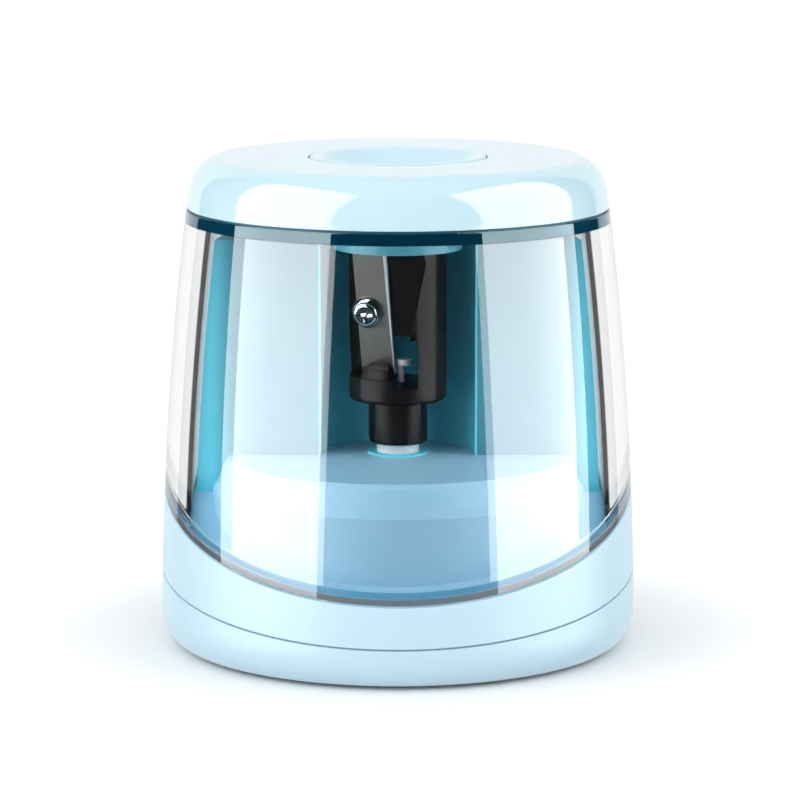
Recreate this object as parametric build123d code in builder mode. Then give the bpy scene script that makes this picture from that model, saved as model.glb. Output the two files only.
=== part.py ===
"""Battery pencil sharpener: a lift-off clear bin and lid over a base that holds a motor,
two gear stages, a spring-loaded conical cutter, four upright cells and two safety switches.

Millimetres, +Z up, the front faces -Y. The origin is on the table under the cutter axis.
"""

import os
from math import acos, cos, pi, radians, sin, tan

from build123d import *

# ---- overall form ----------------------------------------------------------------------
HEIGHT = 95.0  # table to the crown of the guide ring
BASE_R = 46.1  # widest radius, just above the lower corner
LID_R = 40.7  # radius at the lid's lower edge
LID_DEPTH = 9.7  # crown to the lid's lower edge
CORNER_H = 6.8  # height of the rounded lower corner
CORNER_IN = 4.4  # how far the lower corner comes in
FOOT_H = 0.6  # how far the pads stand out of the tray
BARREL = 0.148  # share of the straight line in the taper of the side
LID_EDGE_Z = HEIGHT - LID_DEPTH
CORNER_Z = FOOT_H + CORNER_H
FAR = 60.0  # past every outer face, for cutting blocks

# ---- walls, joints and gaps ------------------------------------------------------------
WALL = 2.2  # opaque outer walls
FLOOR_T = 2.0  # floors, platform and ledge
BIN_WALL = 5.2  # clear bin
SEAM_GAP = 0.3  # between the lift-off cover and the base
FREE_GAP = 0.4  # between loose neighbours
RUN_FIT = 0.06  # radial, shafts in bearings
SLIDE_FIT = 0.1  # radial, sliding pieces
THREAD_R = 1.25  # all plastic-thread screws
SCREW_HEAD_R = 2.5
SCREW_HEAD_H = 1.8
SCREW_FLANGE_H = 0.5
BLADE_SCREW_FLANGE_R = 3.1

# ---- sloping joints --------------------------------------------------------------------
RIM_Z = 32.3  # rim of the base at mid depth
RIM_SLOPE = 0.35
SEAM_Z = 15.5  # joint of housing and tray at mid depth
SEAM_SLOPE = 0.16
SEAM_GROOVE_H = 0.4  # shadow line moulded round the joint
SEAM_GROOVE_D = 0.8
LEDGE_DROP = 1.3  # rim down to the bin's seat

# ---- platform and tower ----------------------------------------------------------------
DECK_Z = 37.1  # flat top of the platform
DECK_R = 32.7
SHOULDER_R = 35.0
SHOULDER_DROP = 4.5
PLATFORM_R = 36.0
TOWER_GAP = 0.4  # tower to the bin's inner face
TOWER_WALL = 1.6
TOWER_FRONT_Y = -3.0
TOWER_DROP = 6.3  # lid edge down to the tower top
NICHE_Y = -1.0
NICHE_R = 15.0
WELL_R = 36.5  # opening in the floor under the tower

# ---- lid, guide and collar -------------------------------------------------------------
CROWN_H = 0.2  # guide ring above the lid's flat top
LID_CORNER_IN = 6.1
LID_CORNER_H = 8.8
LID_T = 2.4
NECK_T = 2.9  # bin neck inside the lid
NECK_H = 2.7
PLUG_T = 2.0
PLUG_DROP = 2.7
GUIDE_R = 17.05
GUIDE_RING_W = 2.0
GUIDE_T = 2.0
GUIDE_GRIP = 3.2
GROOVE = 0.25
DISH_DEPTH = 7.0
BORE_R = 4.2  # pencil bore
BORE_TUBE_R = 6.2
COLLAR_R = 12.4
COLLAR_T = 1.8
COLLAR_DROP = 8.2  # lid edge down to the collar's end
GUIDE_END_GAP = 0.9

# ---- cutter ----------------------------------------------------------------------------
CUTTER_R = 9.46
CUTTER_Z0 = 47.7
CUTTER_TOP_DROP = 3.2  # lid edge down to the holder's top
CONE_TIP_Z = 50.2
CONE_SLOPE = 0.217
HUB_R = 5.72
HUB_Z0 = 39.3
STUB_R = 3.6
STUB_Z1 = 47.2
SPRING_WELL_R = 2.3
SPRING_WELL_Z0 = 41.3
BLADE_EDGE_LOW = (-0.25, -0.40, 52.0)
BLADE_EDGE_RUN = (-0.0896, -0.2, 1.0)
BLADE_TURN = 20.0
BLADE_W = 6.8
BLADE_L = 25.5
BLADE_T = 0.7
BLADE_BEVEL = 0.35
RELIEF_Z0 = 52.6
RELIEF_Z1 = 78.5
WINDOW_X = (-1.0, 3.8)
WINDOW_Z = (51.0, 60.3)
PIN_X = 0.6
PIN_R = 0.7
LUG_X = (-5.6, -1.9)  # lug that keeps the blade's lower end down
LUG_TOP = 54.4
PIN_HEAD_X = 1.25
PIN_HEAD_R = 1.5
PIN_TOP_Z = 55.4
PIN_HEAD_H = 1.1
PIN_END_Z = 43.5
PIN_COLLAR_R = 2.1
PIN_COLLAR_Z = (46.2, 47.2)

# ---- drive -----------------------------------------------------------------------------
SPINDLE_R = 4.1
SPINDLE_SHOULDER_Z = 33.5
SPINDLE_END_Z = 14.0
HEX_R = 2.9  # corner radius of the driving hexagon
CLIP_R = 4.6
CLIP_SEAT_R = HEX_R - 0.7
CLIP_Z = (15.0, 15.6)
CLIP_MOUTH_X = (-1.4, 1.4)
BUSH_R = 5.2
BUSH_FLANGE_R = 5.83
BUSH_FLANGE_H = 0.4
BUSH_END_Z = 33.8
MODULE = 0.5
PRESSURE = radians(20.0)
ADDENDUM = 0.8
DEDENDUM = 1.25
TOOTH_THINNING = 0.1
PINION_TEETH = 10
IDLER_TEETH = 37
OUTPUT_TEETH = 44
IDLER_Y = MODULE * (PINION_TEETH + OUTPUT_TEETH) / 2
MOTOR_Y = IDLER_Y + MODULE * (PINION_TEETH + IDLER_TEETH) / 2
GEARBOX_Z0 = 16.0
PLATE_T = 2.0
PLATE_Z0 = 32.4
OUTPUT_Z = (19.5, 25.5)
IDLER_Z = (27.0, 31.0)
GEAR_HUB_R = 4.5
GEAR_HUB_TOP = 26.4
IDLER_PIN_R = 1.0
MOTOR_R = 12.0
MOTOR_FLAT = 18.6
MOTOR_L = 30.0
MOTOR_CAP_H = 2.2
MOTOR_SHAFT_R = 1.0
MOTOR_SCREW_X = 8.0
POSTS = ((-11.0, -10.0), (11.0, -10.0), (-10.4, 30.5), (10.4, 30.5))
POST_R = 2.2
GEARBOX_BOSSES = ((-17.5, -16.0), (17.5, -16.0), (-16.5, -4.5), (16.5, -4.5))
BOSS_R = 2.6

# ---- start switch and interlock --------------------------------------------------------
CUP_R = 5.9
CUP_T = 1.2
CUP_Z0 = 5.2
PLUNGER_Z = (12.4, 13.7)
PLUNGER_R = 5.6
SWITCH_SIDE = 8.0
SWITCH_H = 3.5
BUTTON_H = 0.7
INTERLOCK_Y = 41.2
INTERLOCK_R = 1.0
INTERLOCK_SWITCH = (8.0, 4.0, 9.0)
INTERLOCK_TOP = 42.0

# ---- cells and tray --------------------------------------------------------------------
CELL_R = 7.25
CELL_L = 50.5
CELL_NUB_R = 2.75
CELL_NUB_H = 1.0
CELL_Z0 = 6.0
CELLS = ((-27.75, 6.3), (27.75, 6.3), (-21.0, 19.2), (21.0, 19.2))
HINGE_Y = -4.0
HINGE_R = 1.5
HINGE_PIN_R = 0.75
HINGE_L = 40.0
HINGE_EAR = 3.6
DOOR_R = 38.0
DOOR_STRIP = (21.0, 7.0, 0.4)  # spring plate that bridges a pair of cells
DOOR_STRIP_TURN = 62.0
DOOR_SPRING_R = 2.6
DOOR_SPRING_WIRE = 0.3
DOOR_SPRING_TURNS = 3
CONTACT_R = 3.4
CONTACT_T = 0.4
DOOR_BACK_Y = 30.0
DOOR_SWING_GAP = 0.9  # room in front of the door's hinged edge as it swings
FEET = ((-24.0, -27.0), (24.0, -27.0), (-12.0, 35.0), (12.0, 35.0))
FOOT_R = 4.0
FOOT_T = 1.4
TRAY_SCREWS = ((-32.0, -18.0), (32.0, -18.0), (0.0, 36.0))
TRAY_PAD_R = 4.2
TRAY_PAD_Z = 5.0
TRAY_BOSS_R = 2.8
BOARD = (30.0, 18.0, 1.6)
BOARD_Y = -28.0
BOARD_Z = 6.0

TRAY_Z = FOOT_H + FLOOR_T
TOWER_TOP = LID_EDGE_Z - TOWER_DROP
CUTTER_TOP = LID_EDGE_Z - CUTTER_TOP_DROP
MID_Z = (CORNER_Z + LID_EDGE_Z) / 2
CELL_TOP = CELL_Z0 + CELL_L


def side_radius(z):
    """Outer radius of base and bin at height z."""
    t = (z - CORNER_Z) / (LID_EDGE_Z - CORNER_Z)
    return BASE_R - (BASE_R - LID_R) * t * (BARREL + (1 - BARREL) * t)


def sloped(z, slope):
    """Plane through (0, 0, z) that rises towards the back."""
    return Plane(origin=(0, 0, z), x_dir=(1, 0, 0), z_dir=(0, -slope, 1))


def side_arc(inset):
    """The side curve moved in by inset, from the lower corner to the lid edge."""
    return ThreePointArc(
        (side_radius(CORNER_Z) - inset, CORNER_Z),
        (side_radius(MID_Z) - inset, MID_Z),
        (side_radius(LID_EDGE_Z) - inset, LID_EDGE_Z),
    )


def turned(points):
    """Solid of revolution about Z from a closed (radius, height) outline."""
    with BuildPart() as body:
        with BuildSketch(Plane.XZ):
            with BuildLine():
                Polyline(*points, close=True)
            make_face()
        revolve(axis=Axis.Z)
    return body.part


def side_solid(inset):
    """Everything inside the side curve moved in by inset."""
    with BuildPart() as body:
        with BuildSketch(Plane.XZ):
            with BuildLine():
                edge = side_arc(inset)
                Polyline(edge @ 1, (0, LID_EDGE_Z), (0, CORNER_Z), edge @ 0)
            make_face()
        revolve(axis=Axis.Z)
    return body.part


def below(solid, plane):
    """The part of a solid under a plane."""
    return solid.split(plane, keep=Keep.BOTTOM)


def above(solid, plane):
    """The part of a solid over a plane."""
    return solid.split(plane, keep=Keep.TOP)


def rod(radius, length):
    """Cylinder about Z, centred, that stays out of any open builder."""
    return Cylinder(radius, length, mode=Mode.PRIVATE)


def brick(x, y, z):
    """Centred box that stays out of any open builder."""
    return Box(x, y, z, mode=Mode.PRIVATE)


def pillar(x, y, radius, z0, z1):
    """Upright cylinder between two heights."""
    return Pos(x, y, (z0 + z1) / 2) * rod(radius, z1 - z0)


def block(x, y, z):
    """Box from (low, high) pairs."""
    size = [pair[1] - pair[0] for pair in (x, y, z)]
    middle = [(pair[1] + pair[0]) / 2 for pair in (x, y, z)]
    return Pos(*middle) * brick(*size)


def screw(x, y, seat, length, flange_r=SCREW_HEAD_R):
    """Pan-head screw pointing up, its cross-recessed head and flange under the seat."""
    head = pillar(0, 0, SCREW_HEAD_R, -SCREW_HEAD_H, 0)
    head = head.fillet(SCREW_HEAD_H * 0.4, [head.edges().sort_by(Axis.Z)[0]])
    shank = pillar(0, 0, THREAD_R, 0, length)
    shank = shank.chamfer(THREAD_R * 0.5, None, [shank.edges().sort_by(Axis.Z)[-1]])
    slot = Pos(0, 0, -SCREW_HEAD_H) * brick(SCREW_HEAD_R * 1.2, 0.6, SCREW_HEAD_H)
    cross = slot + Rot(0, 0, 90) * slot
    flange = pillar(0, 0, flange_r, -SCREW_FLANGE_H, 0)
    return Pos(x, y, seat) * (head + flange + shank - cross)


def coil(x, y, z0, z1, radius, wire, turns):
    """Compression spring between two heights."""
    height = z1 - z0 - 2 * wire
    path = Helix(pitch=height / turns, height=height, radius=radius)
    start = Plane(origin=path @ 0, z_dir=path % 0)
    with BuildPart() as body:
        with BuildSketch(start):
            Circle(wire)
        sweep(path=path)
    return Pos(x, y, z0 + wire) * body.part


def involute_flank(teeth, tip_r, root_r):
    """(radius, half angle) pairs up one flank of a tooth centred on angle 0."""
    pitch_r = MODULE * teeth / 2
    base_r = pitch_r * cos(PRESSURE)
    half = (pi * MODULE / 2 - TOOTH_THINNING) / (2 * pitch_r)
    at_pitch = tan(PRESSURE) - PRESSURE
    radii = [base_r + (tip_r - base_r) * k / 5 for k in range(6)]
    radii = [r for r in radii if r > root_r + 0.02]
    flank = []
    for r in radii:
        lean = acos(min(1.0, base_r / r))
        flank.append((r, half + at_pitch - (tan(lean) - lean)))
    return flank


def gear_outline(teeth, centre_angle):
    """Closed outline of an involute gear with a tooth centred on centre_angle."""
    tip_r = MODULE * (teeth / 2 + ADDENDUM)
    root_r = MODULE * (teeth / 2 - DEDENDUM)
    flank = involute_flank(teeth, tip_r, root_r)
    step = 2 * pi / teeth

    def at(r, angle):
        return (r * cos(angle), r * sin(angle))

    with BuildLine() as outline:
        for k in range(teeth):
            mid = centre_angle + k * step
            rise = [at(r, mid - a) for r, a in flank]
            fall = [at(r, mid + a) for r, a in reversed(flank)]
            foot_in = at(root_r, mid - flank[0][1])
            foot_out = at(root_r, mid + flank[0][1])
            Line(foot_in, rise[0])
            Spline(*rise)
            Line(rise[-1], fall[0])
            Spline(*fall)
            Line(fall[-1], foot_out)
            Line(foot_out, at(root_r, mid + step - flank[0][1]))
    return outline.line


def gear_disc(teeth, centre_angle, z):
    """Gear rim solid about the origin between two heights."""
    with BuildPart() as body:
        with BuildSketch(Plane.XY.offset(z[0])):
            with BuildLine():
                add(gear_outline(teeth, centre_angle))
            make_face()
        extrude(amount=z[1] - z[0])
    return body.part


def hexagon(radius, z0, z1):
    """Hexagonal bar about the Z axis."""
    with BuildPart() as body:
        with BuildSketch(Plane.XY.offset(z0)):
            RegularPolygon(radius=radius, side_count=6)
        extrude(amount=z1 - z0)
    return body.part


# ---- reference solids ------------------------------------------------------------------
RIM = sloped(RIM_Z, RIM_SLOPE)
BIN_EDGE = sloped(RIM_Z + SEAM_GAP, RIM_SLOPE)
LEDGE = sloped(RIM_Z - LEDGE_DROP, RIM_SLOPE)
SPIGOT_EDGE = sloped(RIM_Z - LEDGE_DROP + SEAM_GAP, RIM_SLOPE)
UNDER_LEDGE = sloped(RIM_Z - LEDGE_DROP - FLOOR_T, RIM_SLOPE)
SEAM = sloped(SEAM_Z, SEAM_SLOPE)
GROOVE_TOP = sloped(SEAM_Z + SEAM_GROOVE_H, SEAM_SLOPE)

inside_wall = side_solid(WALL)
platform_mass = turned(
    [
        (0, CORNER_Z),
        (PLATFORM_R, CORNER_Z),
        (PLATFORM_R, DECK_Z - SHOULDER_DROP - 1.5),
        (SHOULDER_R, DECK_Z - SHOULDER_DROP),
        (DECK_R + 0.9, DECK_Z - 1.0),
        (DECK_R, DECK_Z),
        (0, DECK_Z),
    ]
)
platform_core = turned(
    [
        (0, CORNER_Z),
        (PLATFORM_R - FLOOR_T, CORNER_Z),
        (PLATFORM_R - FLOOR_T, DECK_Z - SHOULDER_DROP - 2.0),
        (DECK_R - FLOOR_T + 0.9, DECK_Z - FLOOR_T),
        (0, DECK_Z - FLOOR_T),
    ]
)
floor_mass = below(inside_wall, LEDGE) + platform_mass
floor_core = below(inside_wall, UNDER_LEDGE) + platform_core

niche = pillar(0, NICHE_Y, NICHE_R, 0, HEIGHT)
niche_wall = pillar(0, NICHE_Y, NICHE_R + TOWER_WALL, 0, HEIGHT)
behind_front = block((-FAR, FAR), (TOWER_FRONT_Y, FAR), (CORNER_Z, TOWER_TOP))
behind_wall = block(
    (-FAR, FAR), (TOWER_FRONT_Y + TOWER_WALL, FAR), (CORNER_Z, TOWER_TOP - TOWER_WALL)
)
tower_mass = (side_solid(BIN_WALL + TOWER_GAP) & behind_front) - niche
tower_core = (side_solid(BIN_WALL + TOWER_GAP + TOWER_WALL) & behind_wall) - niche_wall
well = (pillar(0, 0, WELL_R, CORNER_Z, TOWER_TOP) & behind_wall) - niche_wall

# ---- lid cap ---------------------------------------------------------------------------
lid_top = HEIGHT - CROWN_H
neck_r = LID_R - BIN_WALL + NECK_T
plug_r = LID_R - BIN_WALL

with BuildPart() as lid_cap:
    with BuildSketch(Plane.XZ):
        with BuildLine():
            EllipticalCenterArc(
                (LID_R - 0.2 - LID_CORNER_IN, lid_top - LID_CORNER_H),
                LID_CORNER_IN,
                LID_CORNER_H,
                start_angle=0,
                arc_size=90,
            )
            Polyline(
                (LID_R - 0.2, lid_top - LID_CORNER_H),
                (LID_R, LID_EDGE_Z),
                (neck_r, LID_EDGE_Z),
                (neck_r, LID_EDGE_Z + NECK_H),
                (plug_r, LID_EDGE_Z + NECK_H),
                (plug_r, LID_EDGE_Z - PLUG_DROP),
                (plug_r - PLUG_T, LID_EDGE_Z - PLUG_DROP),
                (plug_r - PLUG_T, lid_top - LID_T - 1.5),
                (plug_r - PLUG_T - 1.5, lid_top - LID_T),
                (GUIDE_R, lid_top - LID_T),
                (GUIDE_R, lid_top - 1.0),
                (GUIDE_R + GROOVE, lid_top - 1.0),
                (GUIDE_R + GROOVE, lid_top),
                (LID_R - 0.2 - LID_CORNER_IN, lid_top),
            )
        make_face()
    revolve(axis=Axis.Z)

# ---- pencil guide ----------------------------------------------------------------------
dish_z = HEIGHT - DISH_DEPTH
guide_end = CUTTER_TOP + GUIDE_END_GAP

with BuildPart() as pencil_guide:
    with BuildSketch(Plane.XZ):
        with BuildLine():
            Polyline(
                (GUIDE_R - 1.0, HEIGHT),
                (GUIDE_R - GUIDE_RING_W + 0.6, HEIGHT),
                (GUIDE_R - GUIDE_RING_W - 0.6, HEIGHT - 0.8),
                (BORE_R + 3.0, dish_z + 0.8),
                (BORE_R, dish_z),
                (BORE_R, guide_end),
                (BORE_TUBE_R, guide_end),
                (BORE_TUBE_R, dish_z - 1.2),
                (GUIDE_R - 2.4, lid_top - GUIDE_GRIP - 0.6),
                (GUIDE_R, lid_top - GUIDE_GRIP),
                (GUIDE_R, HEIGHT - 1.0),
            )
            RadiusArc((GUIDE_R, HEIGHT - 1.0), (GUIDE_R - 1.0, HEIGHT), -1.0)
        make_face()
    revolve(axis=Axis.Z)

# ---- guide collar ----------------------------------------------------------------------
guide_mass = turned(
    [
        (BORE_TUBE_R, dish_z - 1.2),
        (GUIDE_R - 2.4, lid_top - GUIDE_GRIP - 0.6),
        (GUIDE_R, lid_top - GUIDE_GRIP),
        (GUIDE_R, HEIGHT),
        (0, HEIGHT),
        (0, dish_z - 1.2),
    ]
)

with BuildPart() as guide_collar:
    with BuildSketch(Plane.XY.offset(LID_EDGE_Z - COLLAR_DROP)):
        Circle(COLLAR_R)
        Circle(COLLAR_R - COLLAR_T, mode=Mode.SUBTRACT)
    extrude(amount=COLLAR_DROP + LID_DEPTH - 2 * GUIDE_T)
    add(guide_mass, mode=Mode.SUBTRACT)

# ---- shavings bin ----------------------------------------------------------------------
bin_outer = side_solid(0.0)
bin_inner = side_solid(BIN_WALL)
spigot_outer = side_solid(WALL + SEAM_GAP)

with BuildPart() as shavings_bin:
    add(above(bin_outer, BIN_EDGE))
    add(above(spigot_outer, SPIGOT_EDGE))
    add(bin_inner, mode=Mode.SUBTRACT)
    with BuildSketch(Plane.XY.offset(LID_EDGE_Z)):
        Circle(neck_r)
        Circle(plug_r, mode=Mode.SUBTRACT)
    extrude(amount=NECK_H)

# ---- base housing ----------------------------------------------------------------------
tray_bosses = [pillar(x, y, TRAY_BOSS_R, TRAY_PAD_Z, DECK_Z) for x, y in TRAY_SCREWS[:2]]
rear_x, rear_y = TRAY_SCREWS[2]
rear_boss = pillar(rear_x, rear_y, TRAY_BOSS_R, TRAY_PAD_Z, GEARBOX_Z0 + 14.0)
rear_rib = block((-1.0, 1.0), (rear_y, BASE_R - WALL / 2), (24.5, GEARBOX_Z0 + 14.0))
gear_bosses = [
    pillar(x, y, BOSS_R, GEARBOX_Z0 + PLATE_T, DECK_Z - 1.0) for x, y in GEARBOX_BOSSES
]
switch_pad = block((-4.5, 4.5), (INTERLOCK_Y - 3.4, BASE_R), (INTERLOCK_TOP, HEIGHT))

outer_wall = above(below(bin_outer - inside_wall, RIM), SEAM)
groove = below(bin_outer - side_solid(SEAM_GROOVE_D), GROOVE_TOP)

with BuildPart() as base_housing:
    add(outer_wall)
    add(groove, mode=Mode.SUBTRACT)
    add(floor_mass - floor_core)
    for boss in tray_bosses + gear_bosses:
        add(boss & floor_mass)
    add(switch_pad & floor_mass)
    add(well, mode=Mode.SUBTRACT)
    add(rear_boss)
    add(rear_rib)
    for x, y in TRAY_SCREWS:
        add(pillar(x, y, THREAD_R, TRAY_PAD_Z, TRAY_PAD_Z + 12.0), mode=Mode.SUBTRACT)
    for x, y in GEARBOX_BOSSES:
        add(pillar(x, y, THREAD_R, GEARBOX_Z0, GEARBOX_Z0 + 14.0), mode=Mode.SUBTRACT)
    add(pillar(0, 0, BUSH_R, BUSH_END_Z, DECK_Z), mode=Mode.SUBTRACT)
    add(
        pillar(0, INTERLOCK_Y, INTERLOCK_R + SLIDE_FIT, INTERLOCK_TOP - 2.0, HEIGHT),
        mode=Mode.SUBTRACT,
    )

# ---- tower shell -----------------------------------------------------------------------
with BuildPart() as tower_shell:
    add(tower_mass)
    add(tower_core, mode=Mode.SUBTRACT)
    add(floor_mass, mode=Mode.SUBTRACT)

# ---- bottom tray -----------------------------------------------------------------------

def door_outline(grow, front_grow):
    """Battery door prism, its back edges moved out by grow and its front by front_grow."""
    front = HINGE_Y + HINGE_R + FREE_GAP - front_grow
    prism = pillar(0, 0, DOOR_R + grow, FOOT_H, TRAY_Z)
    return prism & block((-FAR, FAR), (front, DOOR_BACK_Y + grow), (FOOT_H, TRAY_Z))


hinge_z = FOOT_H + HINGE_R
ear_x = HINGE_L / 2 + FREE_GAP
hinge_bar = Pos(0, HINGE_Y, hinge_z) * Rot(0, 90, 0) * rod(HINGE_R, HINGE_L)
pin_length = HINGE_L + 2 * (FREE_GAP + HINGE_EAR)
pin_bar = Pos(0, HINGE_Y, hinge_z) * Rot(0, 90, 0) * rod(HINGE_PIN_R, pin_length)
pin_room = (
    Pos(0, HINGE_Y, hinge_z)
    * Rot(0, 90, 0)
    * rod(HINGE_PIN_R + RUN_FIT, HINGE_L + 2 * FREE_GAP)
)

with BuildPart() as bottom_tray:
    with BuildSketch(Plane.XZ):
        with BuildLine():
            low = EllipticalCenterArc(
                (BASE_R - CORNER_IN, CORNER_Z),
                CORNER_IN,
                CORNER_H,
                start_angle=270,
                arc_size=90,
            )
            outer_side = side_arc(0.0)
            inner_side = side_arc(WALL)
            Line(outer_side @ 1, inner_side @ 1)
            inner_low = EllipticalCenterArc(
                (BASE_R - WALL - CORNER_IN, CORNER_Z),
                CORNER_IN,
                CORNER_H - FLOOR_T,
                start_angle=270,
                arc_size=90,
            )
            Polyline(inner_low @ 0, (0, TRAY_Z), (0, FOOT_H), low @ 0)
        make_face()
    revolve(axis=Axis.Z)
    split(bisect_by=SEAM, keep=Keep.BOTTOM)
    for x, y in TRAY_SCREWS:
        add(pillar(x, y, TRAY_PAD_R, FOOT_H, TRAY_PAD_Z))
    for x, y in TRAY_SCREWS:
        add(pillar(x, y, THREAD_R, 0, TRAY_PAD_Z), mode=Mode.SUBTRACT)
        add(pillar(x, y, SCREW_HEAD_R, 0, TRAY_PAD_Z - 2.0), mode=Mode.SUBTRACT)
    for x, y in FEET:
        add(pillar(x, y, FOOT_R, 0, FOOT_T), mode=Mode.SUBTRACT)
    add(door_outline(FREE_GAP, DOOR_SWING_GAP), mode=Mode.SUBTRACT)
    hinge_room = block(
        (-ear_x - HINGE_EAR, ear_x + HINGE_EAR),
        (HINGE_Y - HINGE_R - FREE_GAP, HINGE_Y + HINGE_R + FREE_GAP),
        (0, TRAY_Z + 4.0),
    )
    add(hinge_room, mode=Mode.SUBTRACT)
    for side in (-1, 1):
        middle = side * (ear_x + HINGE_EAR / 2)
        ear = Pos(middle, HINGE_Y, hinge_z) * Rot(0, 90, 0) * rod(HINGE_R, HINGE_EAR)
        arm = block(
            (middle - HINGE_EAR / 2, middle + HINGE_EAR / 2),
            (HINGE_Y - HINGE_R - 2 * FREE_GAP, HINGE_Y),
            (FOOT_H, TRAY_Z),
        )
        add(ear)
        add(arm)
    add(pin_bar, mode=Mode.SUBTRACT)
    for side in (-1, 1):
        add(pillar(side * 12.0, BOARD_Y, 2.0, TRAY_Z, BOARD_Z))

# ---- battery door ----------------------------------------------------------------------
with BuildPart() as battery_door:
    add(door_outline(0.0, 0.0))
    add(hinge_bar)
    web = block(
        (-HINGE_L / 2, HINGE_L / 2),
        (HINGE_Y, HINGE_Y + HINGE_R + 2 * FREE_GAP),
        (FOOT_H, TRAY_Z),
    )
    add(web)
    add(pin_room, mode=Mode.SUBTRACT)
    grip = block((-6.0, 6.0), (DOOR_BACK_Y - 1.6, DOOR_BACK_Y + 1.0), (0, FOOT_H + 1.0))
    add(grip, mode=Mode.SUBTRACT)

with BuildPart() as door_hinge_pin:
    add(pin_bar)

# ---- rubber feet -----------------------------------------------------------------------
with BuildPart() as rubber_feet:
    for x, y in FEET:
        foot = pillar(x, y, FOOT_R, 0, FOOT_T)
        add(foot.chamfer(FOOT_H / 2, None, [foot.edges().sort_by(Axis.Z)[0]]))

# ---- cells and contacts ----------------------------------------------------------------
with BuildPart() as battery_cells:
    for k, (x, y) in enumerate(CELLS):
        nub_up = k < 2
        z0 = CELL_Z0 if nub_up else CELL_Z0 + CELL_NUB_H
        z1 = CELL_TOP - CELL_NUB_H if nub_up else CELL_TOP
        nub_z = (z1, CELL_TOP) if nub_up else (CELL_Z0, z0)
        can = pillar(x, y, CELL_R, z0, z1)
        add(can.chamfer(0.4, None, list(can.edges().filter_by(GeomType.CIRCLE))))
        add(pillar(x, y, CELL_NUB_R, *nub_z))

bridge_z = TRAY_Z + DOOR_STRIP[2]
spring_top = CELL_Z0 - SEAM_GAP

with BuildPart() as door_contacts:
    for side in (-1, 1):
        near = CELLS[1]
        far = CELLS[3]
        middle = (side * (near[0] + far[0]) / 2, (near[1] + far[1]) / 2)
        lean = -side * DOOR_STRIP_TURN
        strip = Pos(*middle, (TRAY_Z + bridge_z) / 2) * Rot(0, 0, lean)
        add(strip * brick(*DOOR_STRIP))

door_coils = [
    coil(x, y, bridge_z, spring_top, DOOR_SPRING_R, DOOR_SPRING_WIRE, DOOR_SPRING_TURNS)
    for x, y in CELLS[:2]
]

with BuildPart() as cell_springs:
    for spring in door_coils:
        add(spring)

contact_z = CELL_TOP + SEAM_GAP
carrier_z = contact_z + CONTACT_T

with BuildPart() as cell_contacts:
    for x, y in CELLS:
        add(pillar(x, y, CONTACT_R, contact_z, carrier_z))

with BuildPart() as contact_carrier:
    slab = block((-FAR, FAR), (-FAR, FAR), (carrier_z, carrier_z + TOWER_WALL))
    add(tower_core & slab)
    motor_room = block((-12.6, 12.6), (0, FAR), (carrier_z - 1, carrier_z + 3))
    add(motor_room, mode=Mode.SUBTRACT)

# ---- motor -----------------------------------------------------------------------------
motor_z0 = PLATE_Z0 + PLATE_T
motor_z1 = motor_z0 + MOTOR_L


def motor_slab(radius, flat, z0, z1):
    """Round can with two flats, on the motor's axis."""
    flats = block((-FAR, FAR), (MOTOR_Y - flat / 2, MOTOR_Y + flat / 2), (z0, z1))
    return pillar(0, MOTOR_Y, radius, z0, z1) & flats


with BuildPart() as motor_can:
    add(motor_slab(MOTOR_R, MOTOR_FLAT, motor_z0, motor_z1))
    can_rim = motor_can.faces().sort_by(Axis.Z)[-1].edges()
    chamfer(can_rim, 0.8)
    add(pillar(0, MOTOR_Y, MOTOR_SHAFT_R + RUN_FIT, motor_z0, motor_z0 + 4.0), mode=Mode.SUBTRACT)
    for side in (-1, 1):
        hole = pillar(side * MOTOR_SCREW_X, MOTOR_Y, THREAD_R, motor_z0, motor_z0 + 3.0)
        add(hole, mode=Mode.SUBTRACT)

with BuildPart() as motor_cap:
    add(motor_slab(MOTOR_R - 1.4, MOTOR_FLAT - 2.8, motor_z1, motor_z1 + MOTOR_CAP_H))

with BuildPart() as motor_terminals:
    for side in (-1, 1):
        add(
            block(
                (side * 6.5 - 1.2, side * 6.5 + 1.2),
                (MOTOR_Y - 0.25, MOTOR_Y + 0.25),
                (motor_z1 + MOTOR_CAP_H, motor_z1 + MOTOR_CAP_H + 3.6),
            )
        )

with BuildPart() as motor_shaft:
    add(pillar(0, MOTOR_Y, MOTOR_SHAFT_R, IDLER_Z[0] - 0.8, motor_z0 + 3.6))

pinion = gear_disc(PINION_TEETH, -pi / 2, (IDLER_Z[0] - 0.5, IDLER_Z[1] + 0.5))

with BuildPart() as motor_pinion:
    add(Pos(0, MOTOR_Y, 0) * pinion)
    add(pillar(0, MOTOR_Y, MOTOR_SHAFT_R, 0, HEIGHT), mode=Mode.SUBTRACT)

with BuildPart() as motor_screws:
    for side in (-1, 1):
        add(screw(side * MOTOR_SCREW_X, MOTOR_Y, PLATE_Z0, PLATE_T + 2.6))

# ---- idler -----------------------------------------------------------------------------
wheel = gear_disc(IDLER_TEETH, pi / 2 + pi / IDLER_TEETH, IDLER_Z)
small = gear_disc(PINION_TEETH, -pi / 2, (OUTPUT_Z[0] - 0.5, IDLER_Z[0]))

with BuildPart() as idler_gear:
    add(Pos(0, IDLER_Y, 0) * wheel)
    add(Pos(0, IDLER_Y, 0) * small)
    add(pillar(0, IDLER_Y, 2.2, IDLER_Z[1], PLATE_Z0 - FREE_GAP))
    add(pillar(0, IDLER_Y, IDLER_PIN_R + RUN_FIT, 0, HEIGHT), mode=Mode.SUBTRACT)

with BuildPart() as idler_pin:
    add(pillar(0, IDLER_Y, IDLER_PIN_R, GEARBOX_Z0 + 0.4, motor_z0 - 0.2))

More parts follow.
